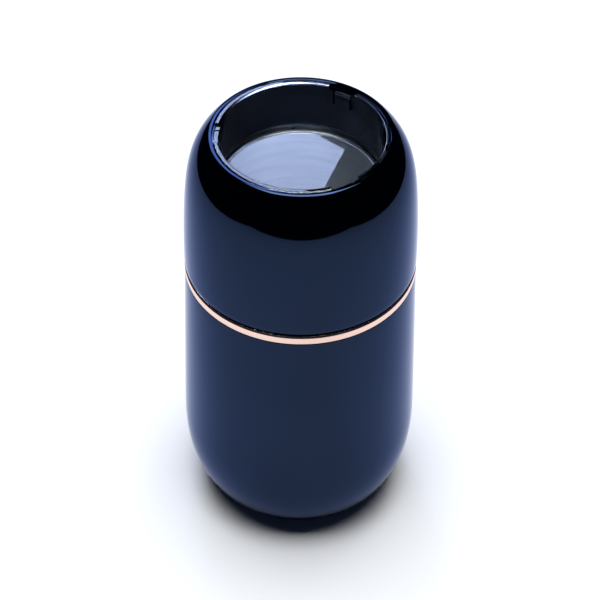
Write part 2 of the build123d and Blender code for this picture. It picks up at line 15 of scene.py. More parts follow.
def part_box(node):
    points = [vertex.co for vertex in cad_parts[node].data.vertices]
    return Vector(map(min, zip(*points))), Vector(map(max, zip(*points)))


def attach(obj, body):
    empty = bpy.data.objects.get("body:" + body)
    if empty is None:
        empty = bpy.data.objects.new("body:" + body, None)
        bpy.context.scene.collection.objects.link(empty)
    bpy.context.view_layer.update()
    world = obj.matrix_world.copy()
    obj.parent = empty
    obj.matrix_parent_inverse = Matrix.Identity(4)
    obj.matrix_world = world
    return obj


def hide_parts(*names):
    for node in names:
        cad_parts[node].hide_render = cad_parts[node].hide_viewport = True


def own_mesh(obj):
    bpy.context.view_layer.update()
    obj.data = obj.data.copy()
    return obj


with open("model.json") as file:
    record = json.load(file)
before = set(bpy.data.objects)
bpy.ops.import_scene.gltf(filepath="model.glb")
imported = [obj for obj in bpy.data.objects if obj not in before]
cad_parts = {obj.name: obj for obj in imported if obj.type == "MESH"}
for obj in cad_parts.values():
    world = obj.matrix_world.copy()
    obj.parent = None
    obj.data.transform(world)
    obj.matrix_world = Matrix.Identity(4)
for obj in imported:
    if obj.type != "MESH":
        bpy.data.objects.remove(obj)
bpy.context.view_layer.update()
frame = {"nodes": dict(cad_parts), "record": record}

MM = 0.001
nodes = frame["nodes"]

# %% [markdown]
# ## Camera
# A small appliance is best seen from above, so that the window in its top shows. A long lens from
# 0.6 m keeps the sides nearly upright. The camera is turned by under a degree, as a hand-levelled
# tripod would be.

# %% Make the camera
CAMERA_PLACE = Vector((0.0, -0.4240, 0.5251))
CAMERA_TARGET = Vector((0.0, 0.0, 0.1002))
CAMERA_ROLL = 0.0098


def aimed(place, target, roll=0.0):
    """A matrix at place that looks at target, turned by roll about its line of sight."""
    ahead = (target - place).normalized()
    side = ahead.cross(Vector((0, 0, 1))).normalized()
    up = side.cross(ahead)
    right = side * math.cos(roll) + up * math.sin(roll)
    above = up * math.cos(roll) - side * math.sin(roll)
    axes = Matrix((right, above, -ahead)).transposed()
    return Matrix.Translation(place) @ axes.to_4x4()


lens = bpy.data.cameras.new("studio_camera")
lens.lens = 90.16
lens.sensor_width = 36.0
lens.clip_start = 0.02
camera = bpy.data.objects.new("studio_camera", lens)
camera.matrix_world = aimed(CAMERA_PLACE, CAMERA_TARGET, CAMERA_ROLL)
bpy.context.scene.collection.objects.link(camera)
bpy.context.scene.camera = camera
print("camera", round((CAMERA_PLACE - CAMERA_TARGET).length, 3), "m from its target")

# %% [markdown]
# ## Floor and light
# A glossy dark object shows its room more than its own colour. The white table ends a little way
# in front of it, and the room beyond is dark. The lid's front therefore has a pale lower part,
# which mirrors the table, and a black upper part with a crisp curved border between them.
# One big soft light hangs overhead and whitens the table. A smaller one stands behind and above,
# and its mirror image lies on the clear floor of the window. The room is dark only for
# reflections: looked at directly, it is a plain pale backdrop.

# %% Lay the table
def matte(name, colour, roughness):
    """A plain material for things that are not part of the object."""
    material = bpy.data.materials.new(name)
    material.use_nodes = True
    shader = material.node_tree.nodes["Principled BSDF"]
    shader.inputs["Base Color"].default_value = (*colour, 1)
    shader.inputs["Roughness"].default_value = roughness
    shader.inputs["Specular IOR Level"].default_value = 0.2
    return material


TABLE_FRONT, TABLE_BACK, TABLE_SIDE = -0.66, 0.80, 0.66
table_mesh = bpy.data.meshes.new("table")
table_mesh.from_pydata(
    [(-TABLE_SIDE, TABLE_FRONT, 0), (TABLE_SIDE, TABLE_FRONT, 0),
     (TABLE_SIDE, TABLE_BACK, 0), (-TABLE_SIDE, TABLE_BACK, 0)],
    [], [(0, 1, 2, 3)],
)
table = bpy.data.objects.new("table", table_mesh)
table_mesh.materials.append(matte("table_white", (0.86, 0.87, 0.88), 0.7))
bpy.context.scene.collection.objects.link(table)
print("table", TABLE_BACK - TABLE_FRONT, "m deep")


# %% Hang the soft lights
def soft_light(name, place, target, size, watts, colour=(1, 1, 1), roll=0.0):
    """A rectangular area light at place, facing target and turned by roll."""
    data = bpy.data.lights.new(name, "AREA")
    data.shape = "RECTANGLE"
    data.size, data.size_y = size
    data.energy = watts
    data.color = colour
    light = bpy.data.objects.new(name, data)
    light.matrix_world = aimed(Vector(place), Vector(target), roll)
    bpy.context.scene.collection.objects.link(light)
    return light


soft_light("top_softbox", (0.0, 0.04, 1.40), (0, 0, 0), (0.95, 0.95), 30, (0.97, 0.98, 1.0))
SOFTBOX_PLACE, SOFTBOX_TARGET, SOFTBOX_ROLL = (-0.187, 0.7985, 0.8773), (-0.2156, 0.0253, 0.2438), -0.455
back_softbox = soft_light(
    "back_softbox", SOFTBOX_PLACE, SOFTBOX_TARGET, (0.36, 0.32), 3.0, (0.50, 0.62, 1.0), SOFTBOX_ROLL,
)
room = bpy.data.worlds.new("studio_room")
room.use_nodes = True
dark = room.node_tree.nodes["Background"]
dark.inputs["Color"].default_value = (0.007, 0.011, 0.022, 1)
pale = room.node_tree.nodes.new("ShaderNodeBackground")
pale.inputs["Color"].default_value = (0.86, 0.88, 0.92, 1)
either = room.node_tree.nodes.new("ShaderNodeMixShader")
seen = room.node_tree.nodes.new("ShaderNodeLightPath")
room.node_tree.links.new(seen.outputs["Is Camera Ray"], either.inputs[0])
room.node_tree.links.new(dark.outputs[0], either.inputs[1])
room.node_tree.links.new(pale.outputs[0], either.inputs[2])
room.node_tree.links.new(either.outputs[0], room.node_tree.nodes["World Output"].inputs["Surface"])
bpy.context.scene.world = room
bpy.context.scene.view_settings.view_transform = "Standard"

# %% [markdown]
# ## Finishes
# Every finish is a small node graph. One base colour is never enough: real mouldings have a
# faint orange peel and a breath of dust, pressed steel has its grain, rubber is blotchy. So each
# finish gets three things: a noise that moves the colour a little, a second one that moves the
# roughness, and a bump far finer than a millimetre. The noise reads object coordinates, so it
# needs no unwrapping and holds still when a piece moves.

# %% Helpers for node graphs
def add(tree, kind, **values):
    """A new node. Names with an underscore in front set a property, the others set a socket."""
    node = tree.nodes.new(kind)
    for key, value in values.items():
        if key.startswith("_"):
            setattr(node, key[1:], value)
        else:
            node.inputs[key.replace("_", " ")].default_value = value
    return node


def noise_at(tree, scale, detail=3.0, stretch=(1, 1, 1)):
    """Noise in object space. A small stretch along an axis draws the pattern out along it."""
    place = add(tree, "ShaderNodeTexCoord")
    mapping = add(tree, "ShaderNodeMapping")
    mapping.inputs["Scale"].default_value = stretch
    texture = add(tree, "ShaderNodeTexNoise", Scale=scale, Detail=detail)
    tree.links.new(place.outputs["Object"], mapping.inputs["Vector"])
    tree.links.new(mapping.outputs["Vector"], texture.inputs["Vector"])
    return texture.outputs["Fac"]


def spread(tree, source, low, high, start=0.3, stop=0.7):
    """Turns a 0 to 1 pattern into values from low to high."""
    node = add(tree, "ShaderNodeMapRange")
    node.inputs["From Min"].default_value = start
    node.inputs["From Max"].default_value = stop
    node.inputs["To Min"].default_value = low
    node.inputs["To Max"].default_value = high
    tree.links.new(source, node.inputs["Value"])
    return node.outputs["Result"]


def two_tone(tree, source, first, second):
    """A colour that moves between two tones with a pattern."""
    node = add(tree, "ShaderNodeMix", _data_type="RGBA")
    node.inputs[6].default_value = (*first, 1)
    node.inputs[7].default_value = (*second, 1)
    tree.links.new(source, node.inputs[0])
    return node.outputs[2]


def finish(name, tones, rough, patch=60, grain=900, depth=0.00002, stretch=(1, 1, 1), **sockets):
    """A finish: two tones, a roughness range, a patch size and a fine grain."""
    material = bpy.data.materials.new(name)
    material.use_nodes = True
    tree = material.node_tree
    shader = tree.nodes["Principled BSDF"]
    for key, value in sockets.items():
        shader.inputs[key.replace("_", " ")].default_value = value
    patches = noise_at(tree, patch, 4.0, stretch)
    tree.links.new(two_tone(tree, spread(tree, patches, 0, 1), *tones), shader.inputs["Base Color"])
    wear = noise_at(tree, patch * 3.1, 5.0, stretch)
    tree.links.new(spread(tree, wear, *rough), shader.inputs["Roughness"])
    fine = noise_at(tree, grain, 2.0, stretch)
    bump = add(tree, "ShaderNodeBump", Strength=1.0, Distance=depth)
    tree.links.new(fine, bump.inputs["Height"])
    tree.links.new(bump.outputs["Normal"], shader.inputs["Normal"])
    return material


# %% Gloss navy moulding
navy_gloss = finish(
    "navy_gloss", ((0.0118, 0.0200, 0.0430), (0.0134, 0.0222, 0.0470)), (0.035, 0.070),
    patch=14, grain=420, depth=0.000003, Metallic=1.0, Specular_Tint=(0.64, 0.69, 0.88, 1),
)
print("gloss moulding:", navy_gloss.name)

# %% Black mouldings, rubber and silicone
black_satin = finish(
    "black_satin", ((0.004, 0.004, 0.006), (0.008, 0.008, 0.011)), (0.24, 0.38),
    patch=40, grain=1500, depth=0.00003, IOR=1.5,
)
nylon_black = finish(
    "nylon_black", ((0.012, 0.012, 0.014), (0.022, 0.022, 0.024)), (0.42, 0.60),
    patch=70, grain=2200, depth=0.00006,
)
nylon_natural = finish(
    "nylon_natural", ((0.52, 0.50, 0.45), (0.62, 0.60, 0.55)), (0.35, 0.50),
    patch=55, grain=1400, depth=0.00003, Subsurface_Weight=0.15,
)
rubber_black = finish(
    "rubber_black", ((0.010, 0.010, 0.010), (0.022, 0.021, 0.020)), (0.55, 0.75),
    patch=90, grain=2600, depth=0.00008,
)
silicone_grey = finish(
    "silicone_grey", ((0.36, 0.37, 0.38), (0.46, 0.47, 0.48)), (0.30, 0.42),
    patch=50, grain=1200, depth=0.00003, Subsurface_Weight=0.3,
)
print("five dull finishes")

# %% Metals
METAL = {"Metallic": 1.0}
rose_gold = finish(
    "rose_gold", ((0.80, 0.56, 0.47), (0.86, 0.62, 0.53)), (0.20, 0.30),
    patch=30, grain=1800, depth=0.00001, stretch=(1, 1, 14), **METAL,
)
bowl_steel = finish(
    "bowl_steel", ((0.50, 0.50, 0.50), (0.60, 0.60, 0.60)), (0.34, 0.44),
    patch=45, grain=1600, depth=0.00001, stretch=(1, 1, 9), **METAL,
)
blade_steel = finish(
    "blade_steel", ((0.55, 0.55, 0.55), (0.64, 0.64, 0.63)), (0.18, 0.34),
    patch=60, grain=1500, depth=0.00002, stretch=(1, 12, 1), **METAL,
)
shaft_steel = finish(
    "shaft_steel", ((0.54, 0.55, 0.56), (0.60, 0.61, 0.62)), (0.12, 0.22),
    patch=70, grain=1800, depth=0.00001, stretch=(1, 1, 10), **METAL,
)
zinc_plate = finish(
    "zinc_plate", ((0.50, 0.50, 0.47), (0.62, 0.61, 0.58)), (0.26, 0.42),
    patch=120, grain=2400, depth=0.00003, **METAL,
)
copper_wire = finish(
    "copper_wire", ((0.50, 0.17, 0.06), (0.66, 0.26, 0.10)), (0.22, 0.36),
    patch=150, grain=1600, depth=0.00002, **METAL,
)
copper_bar = finish(
    "copper_bar", ((0.66, 0.30, 0.17), (0.76, 0.38, 0.24)), (0.20, 0.34),
    patch=90, grain=2000, depth=0.00002, stretch=(1, 1, 12), **METAL,
)
bronze = finish(
    "oiled_bronze", ((0.36, 0.24, 0.12), (0.46, 0.32, 0.17)), (0.38, 0.52),
    patch=160, grain=3000, depth=0.00006, **METAL,
)
brass_strip = finish(
    "brass_strip", ((0.66, 0.47, 0.19), (0.74, 0.55, 0.25)), (0.22, 0.34),
    patch=80, grain=1600, depth=0.00002, **METAL,
)
iron_stack = finish(
    "iron_stack", ((0.12, 0.12, 0.14), (0.24, 0.24, 0.25)), (0.34, 0.55),
    patch=900, grain=1900, depth=0.00012, stretch=(0.02, 0.02, 1), **METAL,
)
print("ten metals")

# %% Small coloured things
carbon = finish("carbon", ((0.012, 0.012, 0.013), (0.030, 0.030, 0.031)), (0.5, 0.7), patch=200)
red_button = finish("red_button", ((0.42, 0.020, 0.012), (0.50, 0.030, 0.018)), (0.2, 0.3))
blue_cover = finish("blue_cover", ((0.03, 0.07, 0.33), (0.05, 0.10, 0.42)), (0.35, 0.5))
yellow_case = finish("yellow_case", ((0.50, 0.36, 0.04), (0.60, 0.44, 0.06)), (0.28, 0.4))
fuse_white = finish("fuse_white", ((0.62, 0.61, 0.57), (0.74, 0.73, 0.69)), (0.3, 0.45))
phenolic = finish("phenolic", ((0.014, 0.013, 0.012), (0.028, 0.025, 0.022)), (0.3, 0.45))
print("six small finishes")

# %% [markdown]
# ## Clear plastic
# The window is a thick cup of clear SAN. It is a real glass-like solid here, with its inside and
# outside walls, because a wall that bends light is what draws the bright double line of its rim.
# Fine rubbing marks move the roughness a little.

# %% Clear finish
clear_plastic = bpy.data.materials.new("clear_plastic")
clear_plastic.use_nodes = True
clear_tree = clear_plastic.node_tree
clear_shader = clear_tree.nodes["Principled BSDF"]
clear_shader.inputs["Base Color"].default_value = (0.80, 0.88, 0.98, 1)
clear_shader.inputs["Transmission Weight"].default_value = 1.0
clear_shader.inputs["IOR"].default_value = 1.56
rubbing = noise_at(clear_tree, 90, 6.0)
clear_tree.links.new(spread(clear_tree, rubbing, 0.0, 0.035, 0.45, 0.8), clear_shader.inputs["Roughness"])
print("clear finish ready")

# %% [markdown]
# ## Turned pieces
# Most of the grinder is round, and its parts come out of turned moulds. The natural way to make
# them is a lathe: draw half the section, then spin it. The CAD mesh would do for dull parts, but
# a mirror finish shows every facet, so the big mouldings are spun again here with even rings.
# Real edges are never sharp, and their tiny rounds catch the light, so `soften` swaps each corner
# of a section for an arc. It also puts a guard point just before and after each arc. Without
# them the smooth shading of the arc leaks across the flat next to it, and a flat mirror bends.

# %% Lathe helpers
def soften(corners):
    """Points of a closed section whose (r, z, radius) corners are rounded by an arc."""
    points = []
    for i, (x, z, radius) in enumerate(corners):
        here = Vector((x, z))
        back = Vector(corners[i - 1][:2]) - here
        ahead = Vector(corners[(i + 1) % len(corners)][:2]) - here
        if radius <= 0:
            points.append((x, z))
            continue
        half = back.angle(ahead) / 2
        reach = min(radius / math.tan(half), back.length * 0.49, ahead.length * 0.49)
        radius = reach * math.tan(half)
        middle = here + (back.normalized() + ahead.normalized()).normalized() * (radius / math.sin(half))
        start = here + back.normalized() * reach - middle
        end = here + ahead.normalized() * reach - middle
        swing = start.angle_signed(end)
        steps = max(2, math.ceil(abs(swing) / math.radians(11)))
        guard_in, guard_out = (reach + min(0.12, (side.length - 2 * reach) * 0.2) for side in (back, ahead))
        points.append(tuple(here + back.normalized() * guard_in))
        for k in range(steps + 1):
            angle = -swing * k / steps
            turned = Vector((start.x * math.cos(angle) - start.y * math.sin(angle),
                             start.x * math.sin(angle) + start.y * math.cos(angle)))
            points.append(tuple(middle + turned))
        points.append(tuple(here + ahead.normalized() * guard_out))
    return points


def keep(name, made, sharp=32):
    """Turns a bmesh into an object with smooth faces and sharp corners."""
    mesh = bpy.data.meshes.new(name)
    bmesh.ops.remove_doubles(made, verts=made.verts, dist=0.000001)
    bmesh.ops.recalc_face_normals(made, faces=made.faces)
    made.to_mesh(mesh)
    made.free()
    mesh.polygons.foreach_set("use_smooth", [True] * len(mesh.polygons))
    mesh.set_sharp_from_angle(angle=math.radians(sharp))
    piece = bpy.data.objects.new(name, mesh)
    bpy.context.scene.collection.objects.link(piece)
    return piece


def spin(section, turns=256, closed=True):
    """A bmesh of a section, in millimetres, spun about Z."""
    made = bmesh.new()
    rings = []
    directions = [(math.cos(math.tau * k / turns), math.sin(math.tau * k / turns)) for k in range(turns)]
    for r, z in section:
        count = 1 if r < 1e-4 else turns
        rings.append([made.verts.new((r * MM * c, r * MM * s, z * MM)) for c, s in directions[:count]])
    pairs = list(zip(rings, rings[1:] + rings[:1])) if closed else list(zip(rings, rings[1:]))
    for low, high in pairs:
        for k in range(turns):
            a, b = low[k % len(low)], low[(k + 1) % len(low)]
            c, d = high[(k + 1) % len(high)], high[k % len(high)]
            corners = list(dict.fromkeys((a, b, c, d)))
            if len(corners) > 2:
                made.faces.new(corners)
    return made


def dress(piece, material, body, slot, *replaced):
    """Gives a piece its finish, the body it moves with and the CAD nodes it stands for. Its slot is not used.
    """
    piece.data.materials.clear()
    piece.data.materials.append(material)
    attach(piece, body)
    if replaced:
        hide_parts(*replaced)
    print(piece.name, len(piece.data.polygons), "faces")
    return piece


# %% [markdown]
# ## Outlines of the two shells
# The lid tapers gently and then turns in quickly at the shoulder. The body flares a little
# downwards and rounds in at the base. Both are smooth formulas, the same as the CAD's, so the
# spun skins fit the frame exactly.

# %% Outlines
RING_R, SEAM_Z, TOP_Z, BASE_Z = 45.0, 122.0, 184.9, 1.5
LID_Z = 127.0


def lid_radius(z):
    """Outside radius of the lid at height z."""
    rise = (z - SEAM_Z) / (TOP_Z - SEAM_Z)
    return RING_R * (1 - 0.094 * rise**1.92 - 0.155 * rise**8.66)


def body_radius(z):
    """Outside radius of the body at height z."""
    drop = (SEAM_Z - z) / RING_R
    side = RING_R * (1 + 0.0457 * drop - 0.0021 * drop**2)
    turn = max(0.0, (48.9 - z) / 54.2)
    return side * (1 - turn**2.76) ** (1 / 2.76)


def inside(radius_at, z, depth):
    """The point that lies depth inside an outline, square to it, from height z."""
    slope = (radius_at(z + 0.02) - radius_at(z - 0.02)) / 0.04
    length = math.hypot(1, slope)
    return radius_at(z) - depth / length, z + depth * slope / length


def bunched(low, high, count):
    """Heights that crowd together towards high."""
    return [low + (high - low) * math.sin(math.pi / 2 * i / count) for i in range(count + 1)]


print("lid", round(lid_radius(LID_Z), 2), "to", round(lid_radius(TOP_Z), 2), "mm in radius")

# %% [markdown]
# ## Lid shell
# The lid is one glossy moulding: a dome, a thin rounded lip round its opening, and a sleeve that
# goes down inside to hold the clear cup. Its section is walked once round, up the outside skin,
# over the lip, down the sleeve and back along the inside skin.

# %% Spin the lid shell
skin = [(lid_radius(z), z) for z in bunched(LID_Z + 0.5, TOP_Z - 0.25, 46)]
lip = [(33.62, TOP_Z - 0.06), (33.35, TOP_Z), (32.62, TOP_Z), (32.44, TOP_Z - 0.12), (32.4, TOP_Z - 0.35)]
sleeve = [(32.4, 183.3), (31.95, 183.3), (31.95, 164.7), (32.15, 164.5), (33.3, 164.5), (33.5, 164.7)]
roof = [inside(lid_radius, z, 2.2) for z in bunched(LID_Z + 1, TOP_Z - 1.0, 30)]
roof = [(r, z) for r, z in reversed(roof) if r > 33.6]
rim_r = lid_radius(LID_Z)
foot = [(rim_r - 2.1, LID_Z + 0.1), (rim_r - 2.0, LID_Z), (rim_r - 0.5, LID_Z)]
edge = [(rim_r - 0.24, LID_Z + 0.06), (rim_r - 0.06, LID_Z + 0.24)]
lid_section = skin + lip + sleeve + [(33.5, roof[0][1])] + roof + foot + edge
lid_shell = keep("lid_dome", spin(lid_section, 288), 40)
dress(lid_shell, navy_gloss, "lid", "shell_plastic", "lid_shell")

# %% [markdown]
# ## Body shell
# The same walk gives the body: outside skin, rounded foot, the edge that takes the base cover,
# and the inside wall.

# %% Spin the body shell
body_heights = [SEAM_Z + BASE_Z - z for z in bunched(BASE_Z, SEAM_Z - 0.0, 70)]
body_skin = [(body_radius(z), z) for z in reversed(body_heights) if z < SEAM_Z - 0.5]
body_foot = [(body_radius(BASE_Z), BASE_Z), (30.9, BASE_Z), (30.6, BASE_Z + 0.3), (30.6, 5.2)]
body_wall = [inside(body_radius, z, 2.2) for z in sorted(body_heights) if z < SEAM_Z - 0.5]
body_wall = [(r, z) for r, z in body_wall if r > 31.0 and z > 5.2]
body_top = [(42.8, SEAM_Z), (44.45, SEAM_Z), (44.75, SEAM_Z - 0.08), (44.94, SEAM_Z - 0.27)]
body_section = list(reversed(body_skin)) + body_foot + body_wall + body_top
body_shell = keep("body_capsule", spin(body_section, 288), 40)
dress(body_shell, navy_gloss, "base", "shell_plastic", "body_shell")

# %% [markdown]
# ## Trim ring
# A narrow metal ring closes the body. It has an upright face and a small bevel on top, both with
# satin rose-gold plating. The softened corners give it a thin bright line above and below.

# %% Spin the trim ring
ring_top = SEAM_Z + 3.7
ring_section = soften([
    (41.4, SEAM_Z, 0.1), (RING_R, SEAM_Z, 0.35), (RING_R, ring_top - 0.7, 0.25),
    (RING_R - 0.6, ring_top, 0.2),
    (43.5, ring_top, 0.1), (43.5, SEAM_Z + 2, 0), (41.4, SEAM_Z + 2, 0.1),
])
dress(keep("trim_band", spin(ring_section, 288), 50), rose_gold, "base", "rose_gold", "trim_ring")

# %% [markdown]
# ## Window cup
# The cup is spun, then three places on its rim are cut: a shallow notch, and in it a tongue
# between two slits. Each tongue springs inwards as the cup is pushed into the sleeve, and its
# hook snaps into a pocket. Cutting with booleans keeps the wall a closed solid, which clear
# plastic needs, or light would bend the wrong way.

# %% Cutting helpers
def slab(x, y, z, angle=0.0):
    """A bmesh box between (low, high) pairs in millimetres, turned about Z."""
    made = bmesh.new()
    corners = [made.verts.new((a * MM, b * MM, c * MM)) for a in x for b in y for c in z]
    for loop in ((0, 1, 3, 2), (4, 6, 7, 5), (0, 4, 5, 1), (2, 3, 7, 6), (0, 2, 6, 4), (1, 5, 7, 3)):
        made.faces.new([corners[i] for i in loop])
    bmesh.ops.rotate(made, verts=made.verts, matrix=Matrix.Rotation(math.radians(angle), 3, "Z"))
    return made


def carve(piece, cutter, how="DIFFERENCE", sharp=32):
    """Cuts or joins one solid with another, for good."""
    tool = keep("tool", cutter)
    step = piece.modifiers.new("carve", "BOOLEAN")
    step.operation = how
    step.solver = "EXACT"
    step.object = tool
    bpy.context.view_layer.update()
    done = bpy.data.meshes.new_from_object(piece.evaluated_get(bpy.context.evaluated_depsgraph_get()))
    piece.modifiers.clear()
    name, old = piece.data.name, piece.data
    piece.data = done
    bpy.data.meshes.remove(old)
    done.name = name
    tool_mesh = tool.data
    bpy.data.objects.remove(tool)
    bpy.data.meshes.remove(tool_mesh)
    done.polygons.foreach_set("use_smooth", [True] * len(done.polygons))
    done.set_sharp_from_angle(angle=math.radians(sharp))
    return piece


# %% Spin and cut the window cup
CUP_FLOOR = 162.2
cup_section = soften([
    (0, CUP_FLOOR - 2, 0), (31.75, CUP_FLOOR - 2, 0.9), (31.75, TOP_Z - 1.5, 0.1), (32.2, TOP_Z - 1.5, 0.1),
    (32.2, TOP_Z, 0.45), (30.2, TOP_Z, 0.55), (30.2, CUP_FLOOR, 1.4), (0, CUP_FLOOR, 0),
])
window_cup = keep("window_cup_clear", spin(cup_section, 240))
for angle in (60, 180, 300):
    carve(window_cup, slab((29, 33), (-5.7, 5.7), (TOP_Z - 1.9, TOP_Z + 1), angle))
    carve(window_cup, slab((29, 33), (3.2, 4.0), (TOP_Z - 8, TOP_Z + 1), angle))
    carve(window_cup, slab((29, 33), (-4.0, -3.2), (TOP_Z - 8, TOP_Z + 1), angle))
    hook = slab((31.2, 32.8), (-3.2, 3.2), (TOP_Z - 5.8, TOP_Z - 3.8), angle)
    for corner in hook.verts:
        if corner.co.z < (TOP_Z - 5) * MM and corner.co.xy.length > 32 * MM:
            corner.co.xy *= 0.978
    carve(window_cup, hook, "UNION")
    carve(lid_shell, slab((31.5, 33.1), (-3.7, 3.7), (TOP_Z - 6.1, TOP_Z - 3.6), angle))
dress(window_cup, clear_plastic, "lid", "clear_plastic", "window_cup")

# %% [markdown]
# ## Grinding bowl
# The bowl is pressed from one disc of stainless steel and has a satin finish. Its corner is a
# large round, so that a finger can wipe it, and its rim is folded out flat over the gasket. The
# screws that hold it go through three holes in its floor.

# %% Spin and pierce the bowl
BOWL_R, BOWL_Z, RIM_Z, SHEET = 32.5, 113.0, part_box("grinding_bowl")[1].z / MM, 0.7
bowl_section = soften([
    (6.5, BOWL_Z, 0), (BOWL_R + SHEET, BOWL_Z, 8.0), (BOWL_R + SHEET, RIM_Z - SHEET, 0.3),
    (35.4, RIM_Z - SHEET, 0.2), (35.4, RIM_Z, 0.2), (BOWL_R, RIM_Z, 0.9),
    (BOWL_R, BOWL_Z + SHEET, 7.3), (6.5, BOWL_Z + SHEET, 0),
])
bowl = keep("steel_bowl", spin(bowl_section, 224))


def rod(radius, low, high, x=0.0, y=0.0, sides=32):
    """A bmesh round bar in millimetres, for cutting."""
    made = bmesh.new()
    middle = Matrix.Translation((x * MM, y * MM, (low + high) / 2 * MM))
    bmesh.ops.create_cone(
        made, cap_ends=True, segments=sides, radius1=radius * MM, radius2=radius * MM,
        depth=(high - low) * MM, matrix=middle,
    )
    return made


def polar(radius, angle):
    """The point at this radius and angle about Z."""
    return radius * math.cos(math.radians(angle)), radius * math.sin(math.radians(angle))


for angle in (30, 150, 270):
    carve(bowl, rod(1.7, 110, 116, *polar(14, angle)))
dress(bowl, bowl_steel, "base", "stainless", "grinding_bowl")

# %% [markdown]
# ## Collar, liner and seal
# These three show when the lid comes off. The black collar stands up out of the ring and guides
# the lid. A slot in its top plate lets the lid's tab reach the sprung rod of the safety switch.
# The liner closes the lid from below round the clear cup, and its silicone lip presses on the
# bowl's rim. All three are turned shapes with a few blocks added or cut.

# %% Spin the collar and cut its slot
plate_top = 156.0
collar = keep("guide_collar", spin(soften([
    (35.1, 154.4, 0.1), (39.2, 154.4, 0), (39.2, 117.5, 0), (41.2, 117.5, 0), (41.2, 124.1, 0),
    (43.2, 124.1, 0.1),
    (43.2, 125.5, 0.25), (40.8, 125.5, 0.1), (40.8, plate_top, 1.1), (35.1, plate_top, 0.3),
]), 224), 40)
carve(collar, slab((-4.2, 4.2), (35.9, 38.7), (153, 158)))
carve(collar, slab((-4, 4), (35.1, 39.6), (134, 144)), "UNION")
carve(collar, rod(1.28, 130, 150, 0, 37.3))
for angle in (30, 150, 270):
    carve(collar, rod(2.7, 110.02, 124.1, *polar(38.4, angle)), "UNION")
    carve(collar, rod(1.15, 107, 120, *polar(38.4, angle)))
dress(collar, black_satin, "base", "black_plastic", "bowl_collar")

# %% Spin the liner and its silicone lip
liner = keep("lid_liner", spin(soften([
    (32.0, 160.6, 0.2), (34.0, 160.6, 0.2), (34.0, 162.5, 0.1), (40.1, 162.5, 0.3),
    (40.1, 164.08, 0.3), (32.0, 164.08, 0.2),
]), 224), 40)
carve(liner, slab((-3.6, 3.6), (36.3, 38.3), (154.32, 163.0)), "UNION")
for angle in (30, 150, 270):
    carve(liner, rod(1.4, 161, 166, *polar(37.6, angle)))
dress(liner, black_satin, "lid", "black_plastic", "chamber_liner")
lip = keep("lid_lip", spin(soften([
    (32.2, 159.3, 0.5), (35.0, 159.3, 0.6), (35.0, 162.4, 0.3), (34.05, 162.4, 0.1),
    (34.05, 160.55, 0.1), (32.2, 160.55, 0.2),
]), 224), 40)
dress(lip, silicone_grey, "lid", "silicone", "lid_seal")

# %% [markdown]
# ## Base cover
# The flat cover closes the body from below. Warm air from the motor leaves through seven slots
# with round ends. The feet sit in shallow pockets, and the four screws in deeper ones.

# %% Spin and pierce the base cover
def flat(outline, low, high):
    """A bmesh prism of a flat outline of (x, y) points."""
    made = bmesh.new()
    rings = [[made.verts.new((x * MM, y * MM, z * MM)) for x, y in outline] for z in (low, high)]
    count = len(outline)
    made.faces.new(list(reversed(rings[0])))
    made.faces.new(rings[1])
    for k in range(count):
        made.faces.new((rings[0][k], rings[0][(k + 1) % count], rings[1][(k + 1) % count], rings[1][k]))
    return made


SLOT_PITCH, SLOT_R = 4.0, 1.1
cover_section = soften([(0, 2.0, 0), (30.3, 2.0, 0.5), (30.3, 4.2, 0.2), (0, 4.2, 0)])
cover = keep("vented_cover", spin(cover_section, 192), 40)
for i in range(-3, 4):
    half = 11.0 - abs(i) * 1.2 - SLOT_R
    ends = []
    for side in (1, -1):
        for turn in range(0, 181, 15):
            across, along = SLOT_R * math.sin(math.radians(turn)), SLOT_R * math.cos(math.radians(turn))
            ends.append((side * (half + across), i * SLOT_PITCH + along * side))
    carve(cover, flat(list(reversed(ends)), 1, 6))
for angle in (0, 90, 180, 270):
    carve(cover, rod(1.5, 1, 6, *polar(26.5, angle)))
    carve(cover, rod(3.0, 1, 3.05, *polar(26.5, angle)))
    carve(cover, rod(4.55, 1, 3.0, *polar(22.5, angle + 45)))
dress(cover, black_satin, "base", "black_plastic", "base_cover")

# %% [markdown]
# ## Blade and nut
# The blade is stamped from flat stainless strip and its two wings are bent, one up and one down,
# so that beans are thrown round the bowl. The leading edge of each wing is ground thin. A wing is
# lofted from three outlines: two equal ones make the thin land, and the top one is pulled back
# from the leading edge to make the ground face. The nut is a hexagon with its corners turned off
# and a dome, so that no food catches on a thread.

# %% Loft the wings
BLADE_Z, BLADE_T, REACH = 118.6, 1.4, 28.6


def wing(turn):
    """One wing with a ground leading edge, turned to its place."""
    made = bmesh.new()
    low = [(0, -5.2), (REACH - 7, -5.0), (REACH - 1, -1.0), (REACH - 3, 4.4), (0, 5.2)]
    high = [(0, -3.0), (REACH - 7.8, -2.9), (REACH - 2.4, -0.2), (REACH - 3, 4.4), (0, 5.2)]
    layers = [[made.verts.new((x * MM, y * MM, z * MM)) for x, y in outline]
              for outline, z in ((low, 0), (low, 0.3), (high, BLADE_T))]
    made.faces.new(list(reversed(layers[0])))
    made.faces.new(layers[-1])
    for first, second in zip(layers, layers[1:]):
        for k in range(5):
            made.faces.new((first[k], first[(k + 1) % 5], second[(k + 1) % 5], second[k]))
    made.transform(Matrix.Translation((0, 0, BLADE_Z * MM)) @ turn)
    return made


